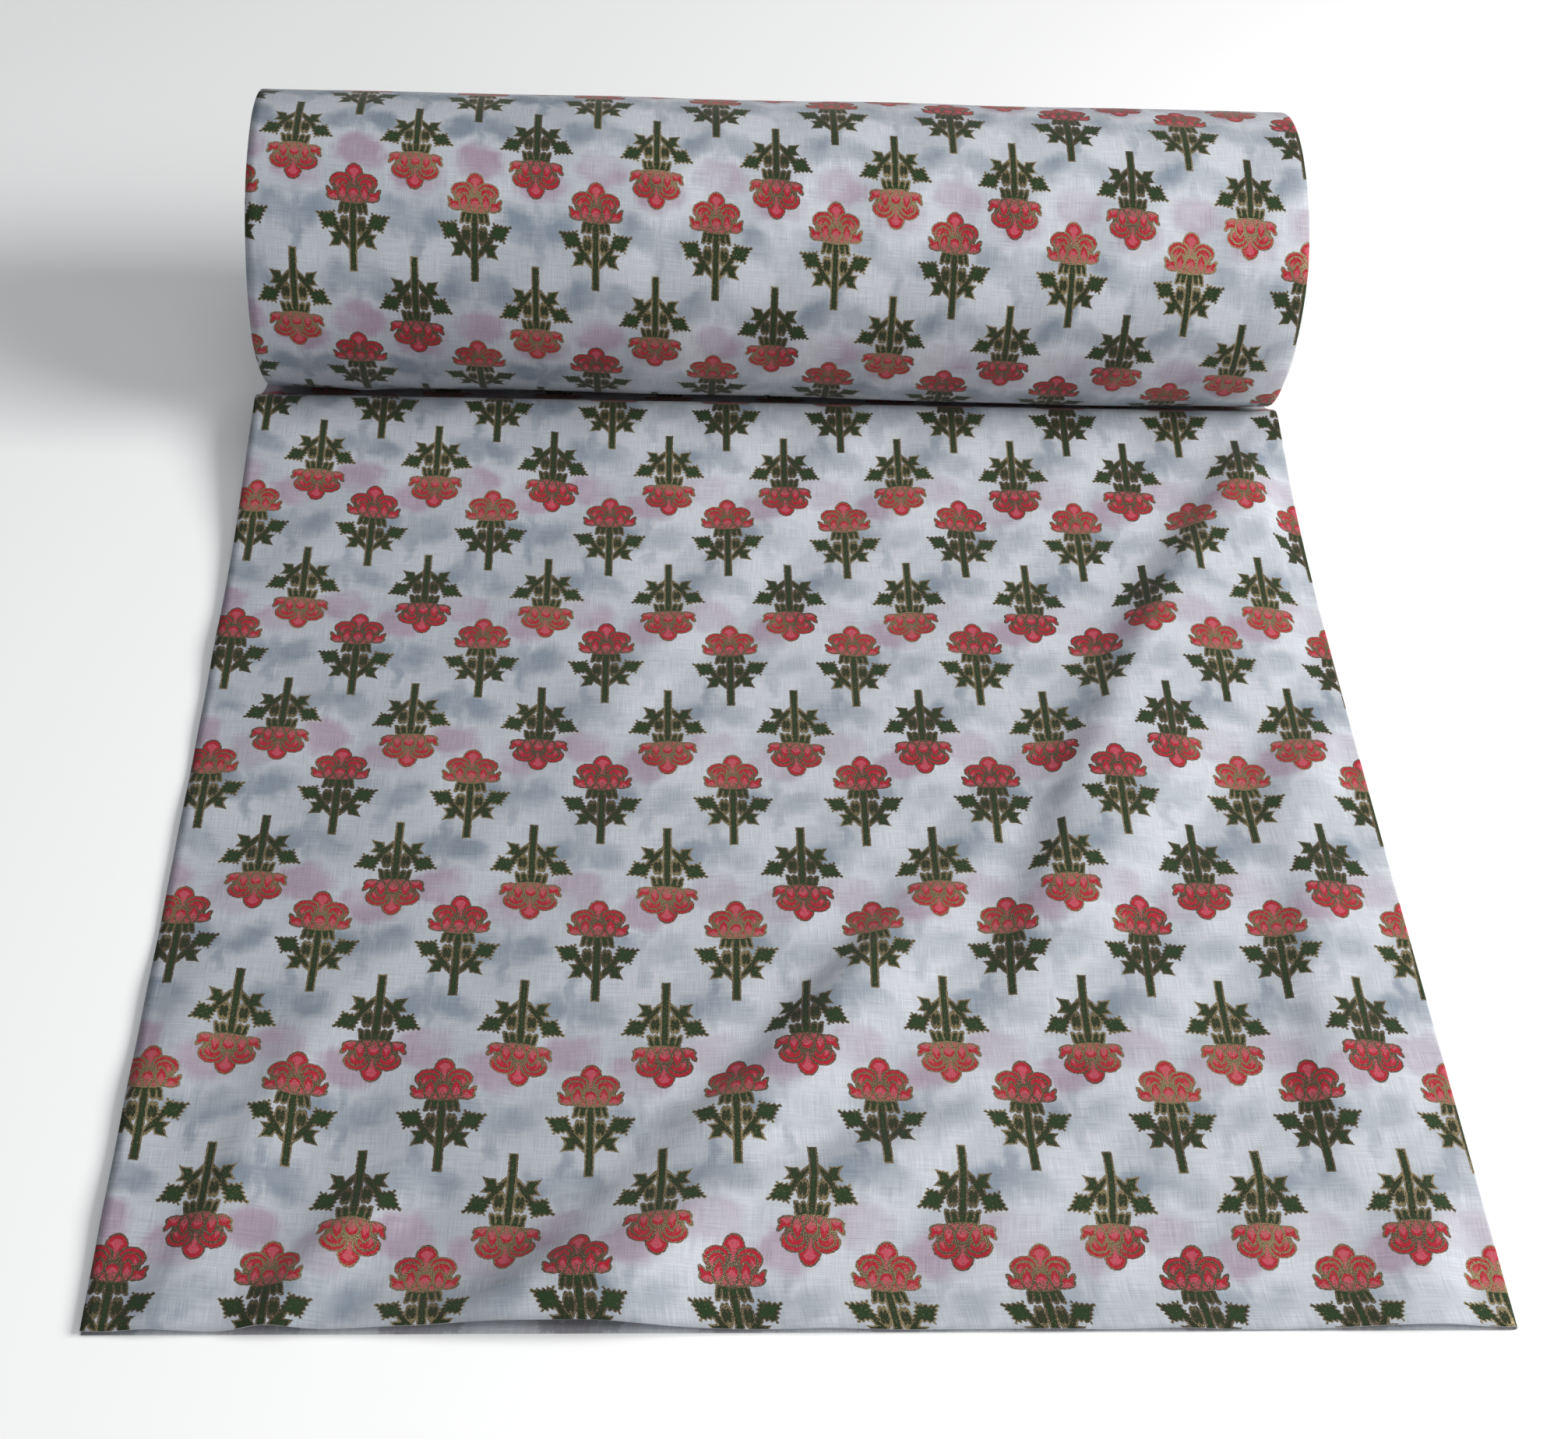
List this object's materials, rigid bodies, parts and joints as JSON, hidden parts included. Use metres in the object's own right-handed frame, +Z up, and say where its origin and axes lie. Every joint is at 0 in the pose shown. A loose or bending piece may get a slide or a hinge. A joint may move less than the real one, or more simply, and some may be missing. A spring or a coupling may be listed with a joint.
{
  "type": "fabric bolt",
  "caption": "Round roll of thin printed cotton cloth, folded double and wound on a cardboard tube, with its free length laid flat in front. The roll turns about its tube.",
  "frame": {"origin": "on the table, under the middle of the whole object's box", "axes": "+Z up, +X along the roll towards the cloth's lengthwise fold, -Y the way the free length is laid out, away from the roll"},
  "size_m": [0.56, 0.7, 0.1614],
  "materials": {
    "printed_cambric": "thin plain-weave cotton, faintly see-through, printed with red tulips, green leaves and gold foil lines",
    "core_board": "spirally wound brown board, matt",
    "paper_tape": "creped paper tape, matt"
  },
  "bodies": {
    "laid_length": {"laid_lower_ply": "printed_cambric", "laid_upper_ply": "printed_cambric", "laid_fold": "printed_cambric"},
    "roll": {"core_tube": "core_board", "start_tape": "paper_tape", "winding_inner": "printed_cambric", "winding_middle": "printed_cambric", "winding_outer": "printed_cambric", "last_turn_upper_ply": "printed_cambric", "last_turn_lower_ply": "printed_cambric"}
  },
  "joints": [
    {"name": "roll_turn", "type": "hinge", "parent": "laid_length", "child": "roll", "pos_m": [0, 0.27, 0.0814], "axis": [-1, 0, 0], "continuous": true}
  ]
}
